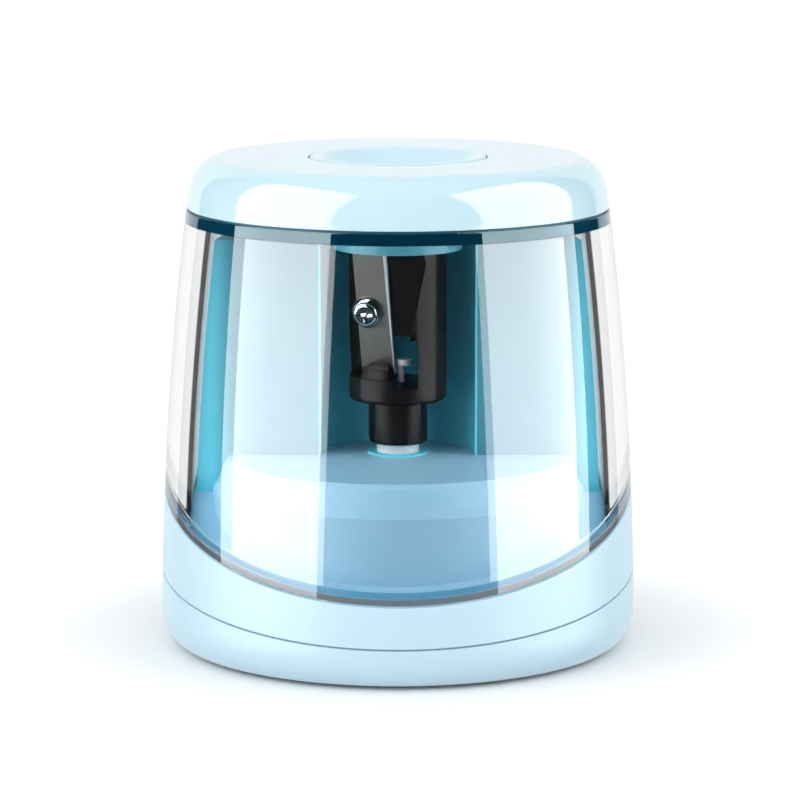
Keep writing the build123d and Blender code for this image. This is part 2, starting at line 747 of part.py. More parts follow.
# ---- output gear -----------------------------------------------------------------------
output_wheel = gear_disc(OUTPUT_TEETH, pi / 2 + pi / OUTPUT_TEETH, OUTPUT_Z)
hex_room = hexagon(HEX_R + SLIDE_FIT, 0, HEIGHT)
hex_bar = hexagon(HEX_R, SPINDLE_END_Z, SPINDLE_SHOULDER_Z + 1.0)

with BuildPart() as output_gear:
    add(output_wheel)
    add(pillar(0, 0, GEAR_HUB_R + 1.0, GEARBOX_Z0 + PLATE_T + FREE_GAP, OUTPUT_Z[1]))
    add(pillar(0, 0, GEAR_HUB_R, GEARBOX_Z0, GEAR_HUB_TOP))
    add(hex_room, mode=Mode.SUBTRACT)

# ---- gearbox frame ---------------------------------------------------------------------
with BuildPart() as gearbox_base:
    front = block((-20.2, 20.2), (-19.0, -1.6), (GEARBOX_Z0, GEARBOX_Z0 + PLATE_T))
    spine = block((-12.8, 12.8), (-14.0, 33.0), (GEARBOX_Z0, GEARBOX_Z0 + PLATE_T))
    add(front + spine)
    for x, y in POSTS:
        add(pillar(x, y, POST_R, GEARBOX_Z0, PLATE_Z0))
        add(pillar(x, y, POST_R / 2, PLATE_Z0, PLATE_Z0 + PLATE_T))
    add(pillar(0, 0, CUP_R + CUP_T, CUP_Z0, GEARBOX_Z0))
    add(pillar(0, 0, CUP_R, CUP_Z0 + CUP_T, GEARBOX_Z0), mode=Mode.SUBTRACT)
    add(pillar(0, 0, GEAR_HUB_R + RUN_FIT, GEARBOX_Z0, HEIGHT), mode=Mode.SUBTRACT)
    add(pillar(0, IDLER_Y, IDLER_PIN_R, GEARBOX_Z0 + 0.4, HEIGHT), mode=Mode.SUBTRACT)
    for x, y in GEARBOX_BOSSES:
        add(pillar(x, y, THREAD_R, 0, HEIGHT), mode=Mode.SUBTRACT)

with BuildPart() as gearbox_plate:
    add(block((-13.2, 13.2), (-13.2, MOTOR_Y + 10.0), (PLATE_Z0, PLATE_Z0 + PLATE_T)))
    add(pillar(0, 0, BUSH_R + FREE_GAP, 0, HEIGHT), mode=Mode.SUBTRACT)
    add(pillar(0, IDLER_Y, IDLER_PIN_R, 0, HEIGHT), mode=Mode.SUBTRACT)
    add(pillar(0, MOTOR_Y, MOTOR_SHAFT_R + FREE_GAP, 0, HEIGHT), mode=Mode.SUBTRACT)
    for side in (-1, 1):
        add(pillar(side * MOTOR_SCREW_X, MOTOR_Y, THREAD_R, 0, HEIGHT), mode=Mode.SUBTRACT)
    for x, y in POSTS:
        add(pillar(x, y, POST_R / 2, 0, HEIGHT), mode=Mode.SUBTRACT)

with BuildPart() as gearbox_screws:
    for x, y in GEARBOX_BOSSES:
        add(screw(x, y, GEARBOX_Z0, 12.0))

with BuildPart() as tray_screws:
    for x, y in TRAY_SCREWS:
        add(screw(x, y, TRAY_PAD_Z - 2.0, 12.0))

# ---- drive bush and spindle ------------------------------------------------------------
with BuildPart() as drive_bush:
    add(pillar(0, 0, BUSH_R, BUSH_END_Z, DECK_Z))
    add(pillar(0, 0, BUSH_FLANGE_R, DECK_Z, DECK_Z + BUSH_FLANGE_H))
    add(pillar(0, 0, SPINDLE_R + RUN_FIT, 0, HEIGHT), mode=Mode.SUBTRACT)

with BuildPart() as drive_spindle:
    add(hex_bar)
    add(pillar(0, 0, SPINDLE_R, SPINDLE_SHOULDER_Z, HUB_Z0))
    add(pillar(0, 0, STUB_R, HUB_Z0, STUB_Z1))
    add(pillar(PIN_X, 0, SPRING_WELL_R, SPRING_WELL_Z0, HEIGHT), mode=Mode.SUBTRACT)
    clip_groove = pillar(0, 0, HEX_R + 1, *CLIP_Z) - pillar(0, 0, CLIP_SEAT_R, *CLIP_Z)
    add(clip_groove, mode=Mode.SUBTRACT)

with BuildPart() as spindle_clip:
    add(pillar(0, 0, CLIP_R, *CLIP_Z) - pillar(0, 0, CLIP_SEAT_R, *CLIP_Z))
    mouth = block(CLIP_MOUTH_X, (-FAR, 0), CLIP_Z) - pillar(0, 0, CLIP_SEAT_R, *CLIP_Z)
    add(mouth, mode=Mode.SUBTRACT)

# ---- cutter ----------------------------------------------------------------------------
turn = radians(BLADE_TURN)
edge_run = Vector(*BLADE_EDGE_RUN)
to_right = Vector(cos(turn), -sin(turn), 0)
outwards = to_right.cross(edge_run)
blade_plane = Plane(origin=BLADE_EDGE_LOW, x_dir=to_right, z_dir=outwards)

with BuildPart() as front_relief:
    with BuildSketch(Plane.XZ):
        with BuildLine():
            Polyline(
                (-12.0, RELIEF_Z0),
                (0.6, RELIEF_Z0),
                (2.3, WINDOW_Z[1]),
                (6.1, RELIEF_Z1),
                (-12.0, RELIEF_Z1),
                close=True,
            )
        make_face()
    extrude(amount=12.0, both=True)
    add(blade_plane * Pos(0, 12.0, 10.0) * brick(80, 80, 20.0), mode=Mode.INTERSECT)

screw_at = blade_plane * Pos(-4.6, 13.3, 0)
lug = block(LUG_X, (-CUTTER_R, 0), (RELIEF_Z0 - 0.5, LUG_TOP))
lug = lug & pillar(0, 0, CUTTER_R - 0.6, RELIEF_Z0 - 0.5, LUG_TOP)
lug = lug & (blade_plane * Pos(0, 0, BLADE_T + 10.0 + RUN_FIT) * brick(80, 80, 20.0))

cone_top = CONE_TIP_Z + BORE_R / CONE_SLOPE
pencil_room = turned([(0, CONE_TIP_Z), (BORE_R, cone_top), (BORE_R, HEIGHT), (0, HEIGHT)])

with BuildPart() as cutter_holder:
    add(pillar(0, 0, CUTTER_R, CUTTER_Z0, CUTTER_TOP))
    fillet(edges().sort_by(Axis.Z)[0], 1.0)
    add(pencil_room, mode=Mode.SUBTRACT)
    add(front_relief.part, mode=Mode.SUBTRACT)
    add(lug)
    add(block(WINDOW_X, (-12, 12), WINDOW_Z), mode=Mode.SUBTRACT)
    add(pillar(PIN_X, 0, PIN_R + RUN_FIT, 0, WINDOW_Z[0]), mode=Mode.SUBTRACT)
    add(screw_at * Pos(0, 0, -2.2) * rod(THREAD_R, 4.4), mode=Mode.SUBTRACT)

with BuildPart() as cutter_hub:
    add(pillar(0, 0, HUB_R, HUB_Z0, CUTTER_Z0))
    chamfer(edges().sort_by(Axis.Z)[0], 0.5)
    add(pillar(0, 0, STUB_R, 0, HEIGHT), mode=Mode.SUBTRACT)

with BuildPart() as cutter_blade:
    with BuildSketch(blade_plane):
        with Locations((-BLADE_W / 2, BLADE_L / 2 + 0.8)):
            Rectangle(BLADE_W, BLADE_L)
    extrude(amount=BLADE_T)
    bevel = blade_plane * Pos(0, BLADE_L / 2, BLADE_T) * Rot(0, 50, 0)
    add(bevel * Pos(0, 0, BLADE_BEVEL) * brick(2.0, 2 * BLADE_L, 0.8), mode=Mode.SUBTRACT)
    add(screw_at * rod(THREAD_R, 4.0), mode=Mode.SUBTRACT)

with BuildPart() as blade_screw:
    add(screw_at * Pos(0, 0, BLADE_T) * Rot(180, 0, 0) * screw(0, 0, 0, 4.4, BLADE_SCREW_FLANGE_R))

with BuildPart() as tip_pin:
    add(pillar(PIN_X, 0, PIN_R, PIN_END_Z, PIN_TOP_Z))
    add(pillar(PIN_HEAD_X, 0, PIN_HEAD_R, PIN_TOP_Z - PIN_HEAD_H, PIN_TOP_Z))
    add(pillar(PIN_X, 0, PIN_COLLAR_R, *PIN_COLLAR_Z))

pin_coil = coil(PIN_X, 0, SPRING_WELL_Z0, PIN_COLLAR_Z[0], 1.6, 0.2, 6)

with BuildPart() as tip_pin_spring:
    add(pin_coil)

# ---- start switch ----------------------------------------------------------------------
switch_z = CUP_Z0 + CUP_T

with BuildPart() as start_switch:
    half = SWITCH_SIDE / 2
    add(block((-half, half), (-half, half), (switch_z, switch_z + SWITCH_H)))
    add(pillar(0, 0, 1.7, switch_z + SWITCH_H, switch_z + SWITCH_H + BUTTON_H))

with BuildPart() as start_plunger:
    add(pillar(0, 0, PLUNGER_R, *PLUNGER_Z))
    chamfer(edges().filter_by(GeomType.CIRCLE), 0.3)

start_coil = coil(0, 0, switch_z + SWITCH_H, PLUNGER_Z[0], 2.9, 0.25, 2)

with BuildPart() as start_spring:
    add(start_coil)

# ---- interlock -------------------------------------------------------------------------
seat_z = RIM_Z - LEDGE_DROP + SEAM_GAP + RIM_SLOPE * (INTERLOCK_Y - INTERLOCK_R)
wide, deep, tall = INTERLOCK_SWITCH

with BuildPart() as interlock_switch:
    reach = (INTERLOCK_Y - deep / 2 - 0.7, INTERLOCK_Y + deep / 2 - 0.9)
    add(block((-wide / 2, wide / 2), reach, (INTERLOCK_TOP - tall, INTERLOCK_TOP)))
    add(
        pillar(0, INTERLOCK_Y, INTERLOCK_R + SLIDE_FIT, INTERLOCK_TOP - 2.0, HEIGHT),
        mode=Mode.SUBTRACT,
    )

with BuildPart() as interlock_plunger:
    add(pillar(0, INTERLOCK_Y, INTERLOCK_R, INTERLOCK_TOP - 1.6, seat_z - SEAM_GAP))
    chamfer(edges().sort_by(Axis.Z)[-1], 0.3)

# ---- circuit board ---------------------------------------------------------------------
with BuildPart() as circuit_board:
    board_x = (-BOARD[0] / 2, BOARD[0] / 2)
    board_y = (BOARD_Y - BOARD[1] / 2, BOARD_Y + BOARD[1] / 2)
    add(block(board_x, board_y, (BOARD_Z, BOARD_Z + BOARD[2])))

with BuildPart() as board_components:
    board_top = BOARD_Z + BOARD[2]
    add(block((-9.0, 1.0), (BOARD_Y + 1.0, BOARD_Y + 7.5), (board_top, board_top + 4.5)))
    add(pillar(8.0, BOARD_Y + 4.0, 2.6, board_top, board_top + 5.0))

NODES = {
    "lid_cap": lid_cap,
    "pencil_guide": pencil_guide,
    "guide_collar": guide_collar,
    "shavings_bin": shavings_bin,
    "base_housing": base_housing,
    "tower_shell": tower_shell,
    "bottom_tray": bottom_tray,
    "battery_door": battery_door,
    "door_hinge_pin": door_hinge_pin,
    "rubber_feet": rubber_feet,
    "tray_screws": tray_screws,
    "battery_cells": battery_cells,
    "door_contacts": door_contacts,
    "cell_springs": cell_springs,
    "cell_contacts": cell_contacts,
    "contact_carrier": contact_carrier,
    "motor_can": motor_can,
    "motor_cap": motor_cap,
    "motor_terminals": motor_terminals,
    "motor_shaft": motor_shaft,
    "motor_pinion": motor_pinion,
    "motor_screws": motor_screws,
    "idler_gear": idler_gear,
    "idler_pin": idler_pin,
    "output_gear": output_gear,
    "gearbox_base": gearbox_base,
    "gearbox_plate": gearbox_plate,
    "gearbox_screws": gearbox_screws,
    "drive_bush": drive_bush,
    "drive_spindle": drive_spindle,
    "spindle_clip": spindle_clip,
    "cutter_holder": cutter_holder,
    "cutter_hub": cutter_hub,
    "cutter_blade": cutter_blade,
    "blade_screw": blade_screw,
    "tip_pin": tip_pin,
    "tip_pin_spring": tip_pin_spring,
    "start_switch": start_switch,
    "start_plunger": start_plunger,
    "start_spring": start_spring,
    "interlock_switch": interlock_switch,
    "interlock_plunger": interlock_plunger,
    "circuit_board": circuit_board,
    "board_components": board_components,
}

os.makedirs("parts", exist_ok=True)
for name, node in NODES.items():
    node.part.label = name
    export_step(node.part, f"parts/{name}.step")
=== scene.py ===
"""Battery pencil sharpener: finishes, smooth outer surfaces, studio and camera.

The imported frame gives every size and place. Metres, +Z up, the front faces -Y.
"""

import logging
import math
from collections.abc import Callable, Mapping, Sequence
from dataclasses import dataclass
from enum import Enum

import bmesh
import bpy
import numpy as np
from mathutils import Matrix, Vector


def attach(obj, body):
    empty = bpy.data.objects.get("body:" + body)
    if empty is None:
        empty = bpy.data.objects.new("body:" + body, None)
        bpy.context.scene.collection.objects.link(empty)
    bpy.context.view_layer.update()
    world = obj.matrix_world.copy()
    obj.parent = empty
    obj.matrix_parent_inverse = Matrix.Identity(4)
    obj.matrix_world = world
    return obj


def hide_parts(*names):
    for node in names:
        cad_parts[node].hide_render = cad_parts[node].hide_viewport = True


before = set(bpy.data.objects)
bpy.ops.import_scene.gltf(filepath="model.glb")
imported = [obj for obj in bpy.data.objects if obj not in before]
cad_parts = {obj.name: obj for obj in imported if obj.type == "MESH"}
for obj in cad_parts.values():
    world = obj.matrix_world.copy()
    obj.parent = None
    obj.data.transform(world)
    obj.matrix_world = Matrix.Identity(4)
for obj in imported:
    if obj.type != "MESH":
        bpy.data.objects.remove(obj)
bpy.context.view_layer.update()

logging.basicConfig(level=logging.INFO, format="%(message)s")
log = logging.getLogger("sharpener")

MM = 0.001
Colour = tuple[float, float, float]

RIM_HEIGHT = 32.6 * MM  # height of the housing's sloping rim on the axis
RIM_SLOPE = 0.35  # rise of the rim per unit towards the back
SKIRT_LOW = 82.6 * MM  # lower edge of the skirt under the lid
HAIR = 0.05 * MM  # width of a sharp change of finish
FLOW_MARKS = 9.0 * MM  # width of the flow marks in moulded plastic


# ---- shader maths ----------------------------------------------------------------------
class Signal:
    """A number socket that can be used in a Python expression."""

    def __init__(self, graph: "Graph", socket: bpy.types.NodeSocket) -> None:
        """Keeps the graph and the socket that gives the number."""
        self.graph = graph
        self.socket = socket

    def _join(self, operation: str, first: object, second: object) -> "Signal":
        """Adds one Math node.

        Args:
            operation: the Math node's operation.
            first: left operand, a Signal or a number.
            second: right operand, a Signal or a number.

        Returns:
            The node's result.
        """
        node = self.graph.node(
            "ShaderNodeMath", {"operation": operation}, {0: first, 1: second}
        )
        return Signal(self.graph, node.outputs[0])

    def __add__(self, other: object) -> "Signal":
        """self + other."""
        return self._join("ADD", self, other)

    def __radd__(self, other: object) -> "Signal":
        """other + self."""
        return self._join("ADD", other, self)

    def __sub__(self, other: object) -> "Signal":
        """self - other."""
        return self._join("SUBTRACT", self, other)

    def __rsub__(self, other: object) -> "Signal":
        """other - self."""
        return self._join("SUBTRACT", other, self)

    def __mul__(self, other: object) -> "Signal":
        """self * other."""
        return self._join("MULTIPLY", self, other)

    def __rmul__(self, other: object) -> "Signal":
        """other * self."""
        return self._join("MULTIPLY", other, self)

    def __truediv__(self, other: object) -> "Signal":
        """self / other."""
        return self._join("DIVIDE", self, other)

    def __rtruediv__(self, other: object) -> "Signal":
        """other / self."""
        return self._join("DIVIDE", other, self)

    def __pow__(self, other: object) -> "Signal":
        """self raised to other."""
        return self._join("POWER", self, other)

    def __rpow__(self, other: object) -> "Signal":
        """other raised to self."""
        return self._join("POWER", other, self)

    def over(self, low: float, high: float) -> "Signal":
        """Smooth step.

        Args:
            low: where the step is still 0.
            high: where the step has reached 1.

        Returns:
            The step, 0 to 1.
        """
        node = self.graph.node(
            "ShaderNodeMapRange",
            {"interpolation_type": "SMOOTHSTEP"},
            {"Value": self, "From Min": low, "From Max": high},
        )
        return Signal(self.graph, node.outputs[0])


class Graph:
    """One node tree with a short way to add nodes."""

    def __init__(self, tree: bpy.types.NodeTree) -> None:
        """Empties the tree."""
        self.tree = tree
        tree.nodes.clear()

    @classmethod
    def of_material(cls, name: str) -> tuple["Graph", bpy.types.Material]:
        """Makes a material with an empty tree.

        Args:
            name: the material's name.

        Returns:
            The graph and the material.
        """
        material = bpy.data.materials.new(name)
        material.use_nodes = True
        return cls(material.node_tree), material

    def node(
        self,
        kind: str,
        settings: Mapping[str, object] | None = None,
        sockets: Mapping[object, object] | None = None,
    ) -> bpy.types.Node:
        """Adds a node.

        Args:
            kind: the node's type name.
            settings: properties set first.
            sockets: input name or number to a value, a socket, a Signal or a node.

        Returns:
            The new node.
        """
        made = self.tree.nodes.new(kind)
        for key, value in (settings or {}).items():
            setattr(made, key, value)
        for key, value in (sockets or {}).items():
            target = made.inputs[key]
            if isinstance(value, Signal):
                value = value.socket
            if isinstance(value, bpy.types.Node):
                value = value.outputs[0]
            if isinstance(value, bpy.types.NodeSocket):
                self.tree.links.new(value, target)
            else:
                target.default_value = value
        return made

    def place(self) -> bpy.types.NodeSocket:
        """Object coordinates, in metres."""
        return self.node("ShaderNodeTexCoord").outputs["Object"]

    def axes(self) -> tuple[Signal, Signal, Signal]:
        """Object coordinates as three numbers, in metres."""
        split = self.node("ShaderNodeSeparateXYZ", {}, {0: self.place()})
        return tuple(Signal(self, split.outputs[k]) for k in range(3))

    def noise(
        self, size: float, detail: float = 2.0, stretch: Colour = (1.0, 1.0, 1.0)
    ) -> Signal:
        """Soft noise from 0 to 1 on the piece.

        Args:
            size: width of one blob, in metres.
            detail: octaves of finer noise.
            stretch: how many times longer a blob is along each axis.

        Returns:
            The noise.
        """
        scale = tuple(1.0 / k for k in stretch)
        turned = self.node("ShaderNodeMapping", {}, {"Vector": self.place(), "Scale": scale})
        made = self.node(
            "ShaderNodeTexNoise",
            {},
            {"Vector": turned, "Scale": 1.0 / size, "Detail": detail},
        )
        return Signal(self, made.outputs[0])

    def blend(self, factor: object, first: object, second: object) -> bpy.types.NodeSocket:
        """Mixes two colours.

        Args:
            factor: 0 gives first, 1 gives second.
            first: a colour or a colour socket.
            second: a colour or a colour socket.

        Returns:
            The mixed colour.
        """
        made = self.node("ShaderNodeMix", {"data_type": "RGBA"}, {0: factor})
        for number, value in ((6, first), (7, second)):
            if isinstance(value, bpy.types.NodeSocket):
                self.tree.links.new(value, made.inputs[number])
            else:
                made.inputs[number].default_value = (*value, 1.0)
        return made.outputs[2]

    def relief(self, height: Signal, depth: float) -> bpy.types.NodeSocket:
        """Bump from a height signal.

        Args:
            height: the height, 0 to 1.
            depth: what a height of 1 stands for, in metres.

        Returns:
            The bumped normal.
        """
        made = self.node("ShaderNodeBump", {}, {"Height": height, "Distance": depth})
        return made.outputs[0]

    def end(self, shader: bpy.types.Node, world: bool = False) -> None:
        """Links a shader to the output node.

        Args:
            shader: the last shader node.
            world: whether the tree is the world's.
        """
        kind = "ShaderNodeOutputWorld" if world else "ShaderNodeOutputMaterial"
        self.node(kind, {}, {"Surface": shader})


# ---- finishes --------------------------------------------------------------------------
@dataclass(frozen=True)
class Moulded:
    """Opaque moulded plastic: even colour, a fine texture and faint flow marks."""

    name: str
    colour: Colour
    roughness: float
    texture: float = 0.0
    texture_size: float = 0.35 * MM
    specular: float = 0.5
    glow: float = 0.0

    def colour_at(self, graph: Graph, drift: Signal) -> bpy.types.NodeSocket:
        """The colour with its faint drift.

        Args:
            graph: the material's graph.
            drift: soft noise, 0 to 1.

        Returns:
            The colour.
        """
        deep = tuple(c * 0.965 for c in self.colour)
        return graph.blend(drift, self.colour, deep)

    def build(self) -> bpy.types.Material:
        """Makes the material."""
        graph, material = Graph.of_material(self.name)
        drift = graph.noise(FLOW_MARKS, 3.0)
        grain = graph.noise(self.texture_size, 2.0)
        sockets: dict[object, object] = {
            "Base Color": self.colour_at(graph, drift),
            "Roughness": self.roughness * (0.92 + 0.16 * drift),
            "Specular IOR Level": self.specular,
        }
        if self.texture:
            sockets["Normal"] = graph.relief(grain, self.texture)
        if self.glow:
            sockets["Subsurface Weight"] = self.glow
            sockets["Subsurface Radius"] = (0.6, 0.8, 1.0)
            sockets["Subsurface Scale"] = 1.2 * MM
        graph.end(graph.node("ShaderNodeBsdfPrincipled", {}, sockets))
        return material


@dataclass(frozen=True)
class Platform(Moulded):
    """Housing plastic whose platform, inside the bin, is painted a deeper blue as shade.

    The painted shade starts inside a radius, above a height.
    """

    # painted shade: the housing plastic as it looks in the bin's shadow
    inner: Colour = (0.3, 0.5, 0.6)
    radius: float = 43.6 * MM
    above: float = 12.0 * MM

    def colour_at(self, graph: Graph, drift: Signal) -> bpy.types.NodeSocket:
        """Pale outside, painted shade inside; see Moulded.colour_at."""
        x, y, z = graph.axes()
        out = ((x * x + y * y) ** 0.5).over(self.radius - HAIR, self.radius)
        # mask of the painted shade on the platform
        inside = (1.0 - out) * z.over(self.above, self.above + 0.1 * MM)
        outer = super().colour_at(graph, drift)
        return graph.blend(inside, outer, self.inner)


@dataclass(frozen=True)
class Tower(Moulded):
    """Tower plastic: bright in the niche, with painted shade on the front
    that fades out towards the sides.

    The niche is a round recess about an axis at (0, niche_y).
    """

    # painted shade: darker colour where the front face gets little light
    front: Colour = (0.075, 0.27, 0.34)
    niche_y: float = -1.0 * MM
    niche: float = 15.3 * MM
    side: float = 31.0 * MM
    edge: float = 37.0 * MM

    def colour_at(self, graph: Graph, drift: Signal) -> bpy.types.NodeSocket:
        """Painted shade on the front between the niche and the sides; see Moulded.colour_at.
        """
        x, y, _ = graph.axes()
        deep = y - self.niche_y
        away = (x * x + deep * deep) ** 0.5
        reach = (x * x) ** 0.5
        # mask of the painted shade on the front, fading out towards the sides
        front = away.over(self.niche, self.niche + 0.2 * MM)
        front = front * (1.0 - reach.over(self.side, self.edge))
        return graph.blend(front, super().colour_at(graph, drift), self.front)


@dataclass(frozen=True)
class ClearMoulded:
    """Clear moulded plastic that lets lamplight through.

    Below a sloping plane the foot is matt and tinted teal, a painted reflection of the lit
    inside; above a height the neck is tinted with painted shade from the lid.
    """

    name: str
    tint: Colour
    lamp_tint: Colour
    index: float
    scuff: float
    foot: float
    slope: float
    matt: float
    foot_painted_reflection: Colour
    neck: float
    neck_painted_shade: Colour

    def build(self) -> bpy.types.Material:
        """Makes the material."""
        graph, material = Graph.of_material(self.name)
        scuffs = graph.noise(6.0 * MM, 4.0).over(0.62, 0.8)
        _, y, z = graph.axes()
        height = z - self.slope * y
        # foot tint: painted reflection of the lit inside; neck tint: painted shade under the
        # lid
        foot = 1.0 - height.over(self.foot, self.foot + HAIR)
        neck = z.over(self.neck, self.neck + HAIR)
        glass = graph.node(
            "ShaderNodeBsdfPrincipled",
            {},
            {
                "Base Color": graph.blend(
                    neck, graph.blend(foot, self.tint, self.foot_painted_reflection), self.neck_painted_shade
                ),
                "Roughness": self.scuff * scuffs + self.matt * foot,
                "IOR": self.index,
                "Transmission Weight": 1.0,
            },
        )
        open_way = graph.node(
            "ShaderNodeBsdfTransparent", {}, {"Color": (*self.lamp_tint, 1.0)}
        )
        path = graph.node("ShaderNodeLightPath")
        mix = graph.node(
            "ShaderNodeMixShader",
            {},
            {0: path.outputs["Is Shadow Ray"], 1: glass, 2: open_way},
        )
        graph.end(mix)
        return material


@dataclass(frozen=True)
class Metal:
    """Bare or plated metal with stains and, where stated, drawn-out tool marks."""

    name: str
    colour: Colour
    roughness: float
    marks: float = 0.0
    mark_size: float = 0.12 * MM
    stretch: Colour = (1.0, 1.0, 1.0)

    def build(self) -> bpy.types.Material:
        """Makes the material."""
        graph, material = Graph.of_material(self.name)
        lines = graph.noise(self.mark_size, 3.0, self.stretch)
        stain = graph.noise(4.0 * MM, 3.0)
        dull = tuple(c * 0.82 for c in self.colour)
        sockets: dict[object, object] = {
            "Base Color": graph.blend(stain, self.colour, dull),
            "Metallic": 1.0,
            "Roughness": self.roughness * (0.75 + 0.5 * lines),
        }
        if self.marks:
            sockets["Normal"] = graph.relief(lines, self.marks)
        graph.end(graph.node("ShaderNodeBsdfPrincipled", {}, sockets))
        return material


@dataclass(frozen=True)
class GroundBlade:
    """Dull rolled steel with a bright ground strip along its cutting edge.

    The strip is where (p - low) . right is above -strip, for a point p on the blade.
    """

    name: str
    colour: Colour
    bright: Colour
    low: Colour
    right: Colour
    strip: float

    def build(self) -> bpy.types.Material:
        """Makes the material."""
        graph, material = Graph.of_material(self.name)
        reach: object = -sum(a * b for a, b in zip(self.low, self.right))
        for axis, weight in zip(graph.axes(), self.right):
            reach = axis * weight + reach
        ground = reach.over(-self.strip - HAIR, -self.strip + HAIR)
        lines = graph.noise(0.09 * MM, 3.0, (30.0, 30.0, 1.0))
        stain = graph.noise(3.0 * MM, 3.0)
        dull = tuple(c * 0.8 for c in self.colour)
        flat = graph.blend(stain, self.colour, dull)
        graph.end(
            graph.node(
                "ShaderNodeBsdfPrincipled",
                {},
                {
                    "Base Color": graph.blend(ground, flat, self.bright),
                    "Metallic": 1.0 - 0.5 * ground,
                    "Roughness": 0.30 + 0.2 * lines + 0.15 * ground,
                    "Normal": graph.relief(lines, 0.008 * MM),
                },
            )
        )
        return material


@dataclass(frozen=True)
class Banded:
    """A cell's wrap: a dark lower film and a metallic upper film."""

    name: str
    lower: Colour
    upper: Colour
    join_z: float

    def build(self) -> bpy.types.Material:
        """Makes the material."""
        graph, material = Graph.of_material(self.name)
        height = graph.axes()[2]
        upper = height.over(self.join_z - 2 * HAIR, self.join_z + 2 * HAIR)
        drift = graph.noise(5.0 * MM)
        graph.end(
            graph.node(
                "ShaderNodeBsdfPrincipled",
                {},
                {
                    "Base Color": graph.blend(upper, self.lower, self.upper),
                    "Roughness": 0.22 + 0.1 * drift,
                    "Metallic": 0.6 * upper,
                },
            )
        )
        return material


class Finish(Enum):
    """Every finish on the object."""

    LID = Moulded("pale_gloss", (0.57, 0.78, 0.86), 0.09, 0.0, specular=0.55, glow=0.12)
    HOUSING = Moulded("pale_satin", (0.545, 0.74, 0.845), 0.36, 0.012 * MM, specular=0.32)
    # housing plastic with painted shade on the platform inside the bin
    PLATFORM = Platform(
        "pale_satin_shaded_platform",
        (0.545, 0.74, 0.845),
        0.36,
        0.012 * MM,
        specular=0.32,
        inner=(0.33, 0.57, 0.73),
    )
    # tower plastic with painted shade on its front face
    TOWER = Tower("teal_tower_shaded_front", (0.15, 0.66, 0.80), 0.42, 0.01 * MM, specular=0.3)
    INNER = Moulded("teal_satin", (0.15, 0.66, 0.80), 0.42, 0.01 * MM, specular=0.3)
    # painted shade: a darker copy of the plastic for the guide collar inside the lid
    SHADED_COLLAR = Moulded("collar_satin_painted_shade", (0.12, 0.45, 0.56), 0.30, 0.008 * MM, specular=0.4)
    BLACK = Moulded("black_satin", (0.008, 0.007, 0.007), 0.26, 0.012 * MM, specular=0.12)
    WHITE = Moulded("natural_white", (0.72, 0.76, 0.78), 0.35, 0.0)
    RUBBER = Moulded("foot_rubber", (0.03, 0.03, 0.032), 0.75, 0.05 * MM, specular=0.25)
    BOARD = Moulded("board_green", (0.015, 0.11, 0.05), 0.3, 0.01 * MM)
    # ring of the pale lid painted dark teal as shade under the lid
    SHADED_SKIRT = Moulded("skirt_painted_shade", (0.015, 0.17, 0.235), 0.30, 0.0, specular=0.3)
    CLEAR = ClearMoulded(
        "bin_clear",
        tint=(0.972, 0.99, 0.995),
        lamp_tint=(0.31, 0.36, 0.43),
        index=1.55,
        scuff=0.04,
        foot=RIM_HEIGHT,
        slope=RIM_SLOPE,
        matt=0.3,
        # painted reflection: teal of the lit inside seen through the wall's foot
        foot_painted_reflection=(0.10, 0.36, 0.46),
        neck=SKIRT_LOW,
        # painted shade under the lid
        neck_painted_shade=(0.12, 0.40, 0.47),
    )
    BLADE = GroundBlade(
        "ground_blade",
        colour=(0.17, 0.165, 0.155),
        bright=(0.50, 0.53, 0.55),
        low=(-0.25 * MM, -0.40 * MM, 52.0 * MM),
        right=(0.936, -0.341, 0.016),
        strip=0.24 * MM,
    )
    STEEL = Metal("drawn_steel", (0.55, 0.55, 0.56), 0.3, 0.01 * MM, 0.1 * MM, (1, 1, 25))
    PLATED = Metal("bright_plate", (0.80, 0.82, 0.84), 0.07)
    SPRING = Metal("spring_wire", (0.5, 0.5, 0.52), 0.25)
    BRASS = Metal("gear_brass", (0.72, 0.50, 0.20), 0.28, 0.01 * MM)
    CELL = Banded("cell_wrap", (0.03, 0.03, 0.035), (0.55, 0.32, 0.10), 40.0 * MM)


class Paintshop:
    """Makes each finish once and puts it on pieces."""

    def __init__(self) -> None:
        """Starts with no material made."""
        self.made: dict[Finish, bpy.types.Material] = {}

    def get(self, finish: Finish) -> bpy.types.Material:
        """The finish's one material.

        Args:
            finish: the finish.

        Returns:
            The material, made at its first use.
        """
        if finish not in self.made:
            self.made[finish] = finish.value.build()
        return self.made[finish]

    def dress(self, finish: Finish, *names: str) -> None:
        """Puts a finish on CAD nodes.

        Args:
            finish: the finish.
            names: the nodes.
        """
        for name in names:
            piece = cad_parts[name]
            for place in piece.material_slots:
                place.material = self.get(finish)
            if not piece.material_slots:
                piece.data.materials.append(self.get(finish))
            log.info("dressed %s in %s", name, finish.value.name)


